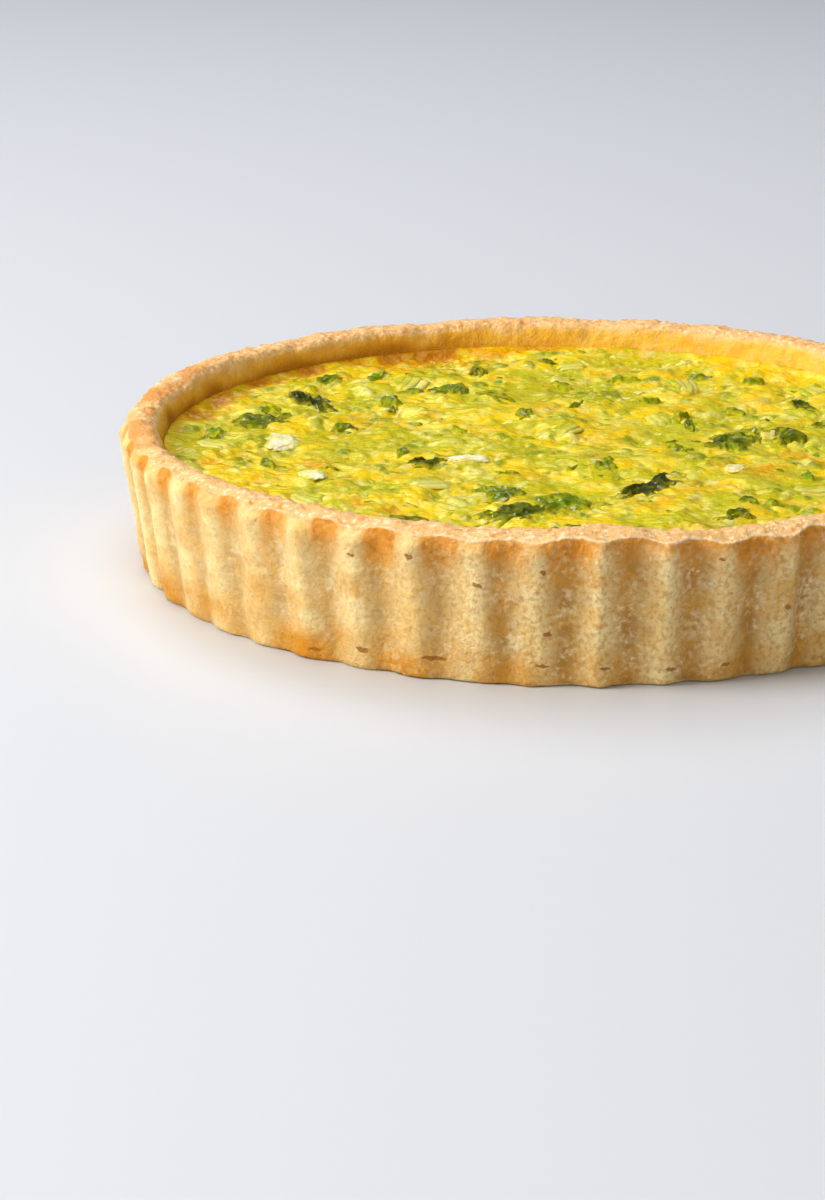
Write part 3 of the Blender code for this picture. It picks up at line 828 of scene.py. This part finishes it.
def makeCuts(finish):
    rng = np.random.default_rng(5)
    layers = cuts["layers"]
    strips = []
    for x, y, long, wide, turn in cuts["places"]:
        turn = math.radians(turn)
        fan = rng.uniform(0.02, 0.1)
        for layer in range(layers):
            k = layer - (layers - 1) / 2  # counted from the middle of the fan
            side = k * wide / layers
            strips.append((
                (x - math.sin(turn) * side) * mm,
                (y + math.cos(turn) * side) * mm,
                (long - 0.8 * abs(k) - rng.uniform(0, 2)) * mm,
                rng.uniform(1.7, 2.3) * wide / layers * mm,
                turn + fan * k,
                0.25 + 0.05 * k,
                (0.55 - 0.1 * k * k + 0.1 * (layer % 2)) * mm,
                np.clip(0.16 + 0.1 * layer % 0.4 + rng.uniform(-0.05, 0.1), 0, 1),
            ))
    x, y, lengths, widths, turns, bends, lifts, owns = (np.array(values) for values in zip(*strips))
    points = ribbons(np.stack([x, y], axis=-1), lengths, widths, turns, bends, lifts, cuts)
    addLeek("leekCuts", points, owns, finish, numbered("leek", cuts["places"]))


def leekBaked():
    # leek softened in butter and baked: thin translucent layers, wet, pale to green
    look = dict(egg="#EBCB3A")
    made, tree, shader = startMaterial("leekBaked", {
        "Roughness": 0.24, "IOR": 1.4, "Specular IOR Level": 0.22,
        "Subsurface Weight": 0.25, "Subsurface Scale": 2 * mm, "Subsurface Radius": (0.9, 1.0, 0.2),
    })
    place = addNode(tree, "TexCoord", "Object")
    colour = layCoats(tree, place, leekColour(tree, place), [(look["egg"], (3 * mm, 0.45, 0.65), 0.5)])
    normal = addBumps(tree, place, ((0.5 * mm, 0.1 * mm), (1.6 * mm, 0.2 * mm)))
    fillSockets(tree, shader, {"Base Color": colour, "Normal": normal})
    return made


# greens: wilted leaves, and the small scraps and flecks of them

leaves = dict(
    cells=38,
    thick=0.35 * mm,
    spread=(1.15, 1.2),  # drawn this much longer and wider, because the edges dip into the custard
    fold=(4.5 * mm, 0.75 * mm),  # size, and how far it stands up
    crease=(1.7 * mm, 0.45 * mm),
    rise=0.55 * mm,  # over the custard
    dip=0.35 * mm,  # of the edges, into it
    tornTo=5,  # a leaf up to this wide, in millimetres, is torn into strands
    strands=dict(apart=(-1.8, -0.6, 0.6, 1.8), thick=0.45 * mm, stations=26, corners=7),  # millimetres apart
    # x, y, length, width in millimetres, turn in degrees, and how thin and green
    places=(
        (-80, 16, 19, 16, 15, 0.4), (-68, 38, 21, 9, -62, 0.1), (-47, 38, 19, 8, 100, 0.6),
        (-24, 70, 16, 5, 85, 0.3), (-18, 44, 20, 5, -40, 0.6), (-34.5, -25, 10, 9, 50, 0.2),
        (-10, -67, 21, 15, 50, 0.25), (1, -58, 19, 13, 20, 0.8), (-15, -50, 11, 9, 150, 0.6),
        (-36, -72, 16, 5, -18, 0.2), (10, -25, 11, 10, 20, 0.7), (22, -40, 20, 10, 55, 0.1),
        (43, 3, 23, 11, 82, 0.5), (59, 10, 17, 7, 80, 0.3), (64, 39, 11, 8, 95, 0.3),
        (42, -68, 8, 6, 30, 0.3), (84, -22, 16, 12, -60, 0.3), (82, 34, 13, 7, 40, 0.5),
        (-32, 50, 13, 9, 20, 0.6),
    ),
)
flecks = dict(
    count=34,
    reach=94 * mm,
    length=(2, 5),  # millimetres
    cells=7,
    thick=0.3 * mm,
    scrapCells=20,
    scrapSpread=1.1,
    thicker=0.45,  # every third one is this much less thin and green
    # scraps: x, y, length, width in millimetres, turn in degrees
    scraps=(
        (-41, -13, 6, 3, 80), (-58, -28, 5, 4, 0), (-74, -28, 8, 4, 100), (-42, 51, 9, 6, 20),
        (-52, 65, 8, 5, 60), (37, 70, 9, 6, 70), (33, 20, 9, 3, 95), (31, 29, 8, 4, 80),
        (52, -57, 8, 4, 20), (45, -56, 7, 4, 100), (-91, 1, 9, 6, 80), (-79, 27, 8, 4, 0),
        (4, 36, 9, 3, 60), (75, 55, 9, 4, 30), (61, -30, 8, 4, 100), (-5, 84, 8, 4, 0),
        (52, 66, 9, 5, 40), (17, 67, 9, 4, 0), (-10, 22, 7, 4, 120), (78, -8, 8, 4, 60),
        (24, 45, 8, 5, 20), (-58, 12, 7, 4, 40), (30, -4, 7, 4, 10), (-28, 8, 6, 4, 150),
        (68, 22, 8, 5, 20), (-4, -84, 8, 4, 0), (0, 60, 8, 5, 130), (-66, 60, 7, 4, 50),
        (46, 36, 8, 4, 120), (-14, -32, 6, 3, 20),
    ),
)


def crumpledSheet(x, y, long, wide, turn, seed, cells):
    # a wilted leaf with a lobed outline, folds and edges that dip into the custard: its upper face and masks
    u, v = discGrid(cells)
    rho, theta = np.hypot(u, v), np.arctan2(v, u)
    ring = np.stack([np.cos(theta), np.sin(theta), np.full_like(theta, seed * 3.1)], axis=-1)
    lobes = 1 + 0.45 * lumps(ring, 0.8, seed) * rho + 0.3 * lumps(ring, 0.3, seed + 1) * rho
    px, py = u * lobes * long / 2, v * lobes * wide / 2
    crumple = flat(px, py) + seed * 0.01
    px = px + 0.8 * mm * lumps(crumple, 3 * mm, seed + 5)
    py = py + 0.8 * mm * lumps(crumple, 3 * mm, seed + 6)
    (foldSize, foldLift), (creaseSize, creaseLift) = leaves["fold"], leaves["crease"]
    fold = 1 - 2.2 * np.abs(lumps(crumple * np.array([1, 1.5, 1]), foldSize, seed + 2))
    crease = 1 - 2.2 * np.abs(lumps(crumple, creaseSize, seed + 3))
    c, s = math.cos(turn), math.sin(turn)
    gx, gy = x + px * c - py * s, y + px * s + py * c
    lift = foldLift * fold + creaseLift * crease + leaves["rise"]
    edge = smoothStep(rho + 0.3 * lumps(crumple, 4 * mm, seed + 4), 0.45, 1.02)
    calm = calmHeight(gx, gy)
    z = mix(np.maximum(calm + lift, bedHeight(gx, gy) + 0.12 * mm), calm - leaves["dip"], edge)
    return np.stack([gx, gy, z], axis=-1), dict(edge=edge, fold=fold, crease=crease)


def tornStrands(rng, x, y, long, turn, thin):  # x, y and length in millimetres
    strands = leaves["strands"]
    side, count = np.array(strands["apart"]) * mm, len(strands["apart"])
    points = ribbons(
        np.stack([x * mm - math.sin(turn) * side, y * mm + math.cos(turn) * side], axis=-1),
        rng.uniform(0.7, 1.1, count) * long * mm,
        rng.uniform(1.0, 1.7, count) * mm,
        turn + rng.normal(0, 0.12, count),
        rng.normal(0, 0.3, count),
        rng.uniform(0.2, 0.6, count) * mm,
        strands,
    )
    shares = dict(edge=0.25, fold=0.4, crease=0.4, thin=thin)
    masks = {mask: np.full(points.size // 3, share) for mask, share in shares.items()}
    return points.reshape(-1, 3), ribbonFaces(points), masks


def makeLeaves(finish):
    rng = np.random.default_rng(8)
    solids = []
    longer, wider = leaves["spread"]
    for index, (x, y, long, wide, turn, thin) in enumerate(leaves["places"]):
        turn = math.radians(turn)
        if wide <= leaves["tornTo"]:
            solids.append(tornStrands(rng, x, y, long, turn, thin))
            continue
        top, masks = crumpledSheet(
            x * mm, y * mm, longer * long * mm, wider * wide * mm, turn, 100 + 17 * index, leaves["cells"]
        )
        masks["thin"] = np.full(top.shape[:2], thin)
        solids.append(sheetSolid(top, leaves["thick"], masks))
    addPiece("wiltedLeaves", *joinSolids(solids), finish, "greens", numbered("leaf", leaves["places"]))


def makeFlecks(finish):
    rng = np.random.default_rng(33)
    scraps = flecks["scraps"]
    more = flecks["scrapSpread"]
    places = insideDisc(rng, flecks["count"], flecks["reach"])
    solids = []
    for index in range(len(scraps) + flecks["count"]):
        seed = 700 + 17 * index
        if index < len(scraps):
            x, y, long, wide, turn = scraps[index]
            top, masks = crumpledSheet(
                x * mm, y * mm, more * long * mm, more * wide * mm, math.radians(turn), seed,
                flecks["scrapCells"],
            )
            masks["fold"] = 0.6 * masks["fold"] - 0.3
        else:  # a fleck: flatter, and at random
            x, y = places[index - len(scraps)]
            long = rng.uniform(*flecks["length"]) * mm
            top, masks = crumpledSheet(
                x, y, long, long * rng.uniform(0.4, 0.8), rng.uniform(0, math.pi), seed, flecks["cells"]
            )
            top[..., 2] = bedHeight(x, y) + 0.35 * (top[..., 2] - calmHeight(x, y)) - 0.1 * mm
            masks["fold"] = 0.3 * masks["fold"] - 0.4
        masks["thin"] = np.full(top.shape[:2], 1 - flecks["thicker"] * (index % 3 == 0))
        solids.append(sheetSolid(top, flecks["thick"], masks))
    addPiece("leafFlecks", *joinSolids(solids), finish, "greens", ["filling"])


def greensWilted():
    # leaf greens wilted in the custard: near black and wet on the folds, olive and thin toward the edge
    look = dict(
        dark="#151502", mid="#4C4C04", olive="#868406", green="#728E06", lime="#B0B414", egg="#D0BE1E",
        glint="#D4D8D2",
    )
    made, tree, shader = startMaterial("greensWilted", {
        "Roughness": 0.38, "IOR": 1.4, "Specular IOR Level": 0.08,
        "Subsurface Weight": 0.1, "Subsurface Scale": 1 * mm,
    })
    place = addNode(tree, "TexCoord", "Object")
    fold, crease, thin = (coverage(tree, place, mask) for mask in ("fold", "crease", "thin"))
    folded = addNode(tree, "MapRange", "Result", {"Value": fold, "From Min": -0.7, "From Max": 0.4})
    vein = addNode(tree, "MapRange", "Result", {"Value": crease, "From Min": 0.35, "From Max": 0.9})
    thick = addNode(tree, "Math", 0, {0: 1.1, 1: thin}, operation="SUBTRACT", use_clamp=True)
    green = coverage(tree, place, thin, (6 * mm, 0.26, 0.46))
    colour = layCoats(tree, place, look["olive"], (
        (look["mid"], folded),
        (look["dark"], thick, (3 * mm, 0.36, 0.54)),
        (look["green"], green),
        (look["lime"], green, (3.5 * mm, 0.42, 0.6), 0.9),  # sheer patches
        (look["dark"], vein, 0.5),
        (look["olive"], "edge", 0.75),
        (look["egg"], "edge", (2.2 * mm, 0.4, 0.56)),
        (look["glint"], vein, folded, (1.6 * mm, 0.56, 0.64), 0.75),
    ))
    normal = addBumps(tree, place, ((0.5 * mm, 0.2 * mm), (1.3 * mm, 0.5 * mm)))
    fillSockets(tree, shader, {"Base Color": colour, "Normal": normal})
    return made


# soft white cheese

cheese = dict(
    height=1.9,  # millimetres
    detail=5,  # subdivisions of the ball that each lump is shaped from
    swells=((0.35, 0.8, 0), (0.12, 0.35, 1), (0.1, 0.15, 3)),  # share, size on a ball of radius 1, and a seed
    sunk=(-0.05 * mm, 0.85 * mm),  # heights over the bed between which its custard cover fades
    # x, y, length, width in millimetres, turn in degrees
    places=(
        (-73, -4, 16, 8, 85), (-63, -36, 10, 9, 100), (-24, -22, 11, 6, 10), (44, -24, 10, 6, 80),
        (79, 8, 9, 7, 0),
    ),
)


def ball(detail):
    bpy.ops.mesh.primitive_ico_sphere_add(subdivisions=detail, radius=1)
    made = bpy.context.object
    mesh = made.data
    points = np.array([v.co for v in mesh.vertices])
    faces = [list(p.vertices) for p in mesh.polygons]
    bpy.data.objects.remove(made, do_unlink=True)
    bpy.data.meshes.remove(mesh)
    return points, faces


def makeCheese(finish):
    unit, faces = ball(cheese["detail"])
    solids = []
    for index, (x, y, long, wide, turn) in enumerate(cheese["places"]):
        seed = 300 + 7 * index
        swell = 1
        for share, size, ownSeed in cheese["swells"]:
            swell = swell + share * lumps(unit + index, size, seed + ownSeed)
        shaped = unit * swell[:, None] * np.array([long, wide, cheese["height"]]) / 2 * mm
        c, s = math.cos(math.radians(turn)), math.sin(math.radians(turn))
        px = x * mm + (shaped[:, 0] * c - shaped[:, 1] * s)
        py = y * mm + (shaped[:, 0] * s + shaped[:, 1] * c)
        up = calmHeight(px, py) + shaped[:, 2]
        above = up - bedHeight(px, py) + 0.4 * mm * lumps(unit * 4, 1.0, seed + 2)
        masks = dict(sunk=1 - smoothStep(above, *cheese["sunk"]))
        solids.append((np.stack([px, py, up], axis=-1), faces, masks))
    addPiece("cheeseLumps", *joinSolids(solids), finish, "cheese", numbered("cheese", cheese["places"]))


def cheeseBaked():
    # soft white cheese warmed through: creamy, moist, custard yellow where it sinks in
    look = dict(white="#F0ECCE", cream="#E8DE98", custard="#DEC93C")
    made, tree, shader = startMaterial("cheeseBaked", {
        "Roughness": 0.4, "IOR": 1.45, "Subsurface Weight": 0.4, "Subsurface Scale": 3 * mm,
    })
    place = addNode(tree, "TexCoord", "Object")
    colour = layCoats(tree, place, look["white"], (
        (look["cream"], (3 * mm, 0.42, 0.66), 0.8),
        (look["custard"], "sunk"),
    ))
    normal = addBumps(tree, place, ((0.5 * mm, 0.12 * mm), (1.8 * mm, 0.3 * mm)))
    fillSockets(tree, shader, {"Base Color": colour, "Normal": normal})
    return made


# camera, floor and light

view = dict(
    lens=99.0,  # with the sensor's 36 mm along the picture's long side
    sensor=36,
    place=(0.0, -0.82728, 0.25073),
    yaw=-2.688, pitch=-17.753, roll=-0.164,  # degrees
)
studio = dict(
    floorReach=8.0,
    floorDrop=0.1 * mm,  # keeps the floor clear of the base
    floorPaint="#CDD2DC",
    room="#F3F4F7",
    roomStrength=0.14,
    aim=(0, 0, 0.02),
    # name, place, width, watts, colour
    lights=(
        ("keyLeft", (-1.5, -0.5, 1.0), 0.9, 35, "#FFF8EC"),
        ("softTop", (-0.2, 0.3, 1.7), 1.6, 14, "#FFFFFF"),
        ("softBack", (-0.6, 1.1, 1.4), 0.9, 8, "#FFFFFF"),
        ("fillFront", (0.5, -2.0, 1.2), 1.8, 14, "#FFF4E2"),
    ),
)


def addCamera():
    data = bpy.data.cameras.new("camera")
    data.lens = view["lens"]
    data.sensor_width = view["sensor"]
    data.sensor_fit = "AUTO"
    data.clip_start, data.clip_end = 0.05, 60
    camera = addObject("camera", data)
    yaw, pitch, roll = (math.radians(view[k]) for k in ("yaw", "pitch", "roll"))
    turn = Matrix.Rotation(-yaw, 4, "Z") @ Matrix.Rotation(math.pi / 2 + pitch, 4, "X")
    camera.matrix_world = Matrix.Translation(view["place"]) @ turn @ Matrix.Rotation(-roll, 4, "Z")
    bpy.context.scene.camera = camera


def addLight(name, place, width, watts, colour):
    data = bpy.data.lights.new(name, "AREA")
    data.shape = "DISK"
    data.size = width
    data.energy = watts
    data.color = linearColour(colour)[:3]
    lamp = addObject(name, data)
    lamp.location = place
    lamp.rotation_euler = (Vector(studio["aim"]) - Vector(place)).to_track_quat("-Z", "Y").to_euler()


def paintedStudioFloor():
    # matt painted studio floor: one even pale grey that takes a soft shadow
    return startMaterial("paintedStudioFloor", {"Roughness": 0.55, "Base Color": studio["floorPaint"]})[0]


def addStudio():
    reach = studio["floorReach"]
    mesh = bpy.data.meshes.new("floor")
    corners = [(-reach, -reach, 0), (reach, -reach, 0), (reach, reach, 0), (-reach, reach, 0)]
    mesh.from_pydata(corners, [], [(0, 1, 2, 3)])
    mesh.materials.append(paintedStudioFloor())
    floor = addObject("floor", mesh)
    floor.location.z = -studio["floorDrop"]
    world = bpy.data.worlds.new("studio")
    world.use_nodes = True
    background = world.node_tree.nodes["Background"]
    fillSockets(world.node_tree, background, {"Color": studio["room"], "Strength": studio["roomStrength"]})
    bpy.context.scene.world = world
    for light in studio["lights"]:
        addLight(*light)
    settings = bpy.context.scene.view_settings
    settings.view_transform = "Standard"
    settings.look = "None"


print("pastry case")
makeCase(shortcrustBaked())
print("custard")
makeCustard(custardSet())
print("leek")
leekFinish = leekBaked()
makeShreds(leekFinish)
makeCuts(leekFinish)
print("greens")
greensFinish = greensWilted()
makeLeaves(greensFinish)
makeFlecks(greensFinish)
print("cheese")
makeCheese(cheeseBaked())
print("camera, floor and light")
addCamera()
addStudio()
